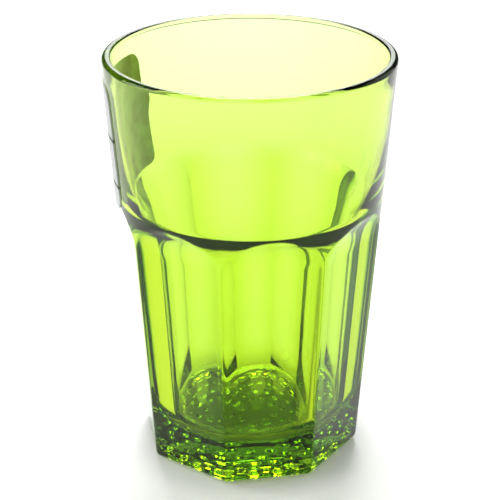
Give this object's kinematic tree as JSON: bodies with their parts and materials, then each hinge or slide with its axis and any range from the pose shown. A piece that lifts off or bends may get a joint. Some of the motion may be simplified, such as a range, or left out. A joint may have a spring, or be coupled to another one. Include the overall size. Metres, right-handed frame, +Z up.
{
  "type": "highball glass",
  "caption": "Pressed green glass tumbler with a round bowl above a shoulder, flat panels with arched tops below it, a heavy octagonal foot and a paper label on the bowl.",
  "frame": {"origin": "on the table under the centre of the foot", "axes": "+Z up along the glass's axis of revolution; one flat panel faces -Y; the label sits on the bowl towards -X and a little to +Y"},
  "size_m": [0.083, 0.083, 0.122],
  "materials": {
    "green_glass": "clear polished pressed glass, yellow-green",
    "label_paper": "matt white paper"
  },
  "bodies": {
    "root": {"tumbler": "green_glass", "paper_label": "label_paper"}
  },
  "joints": []
}
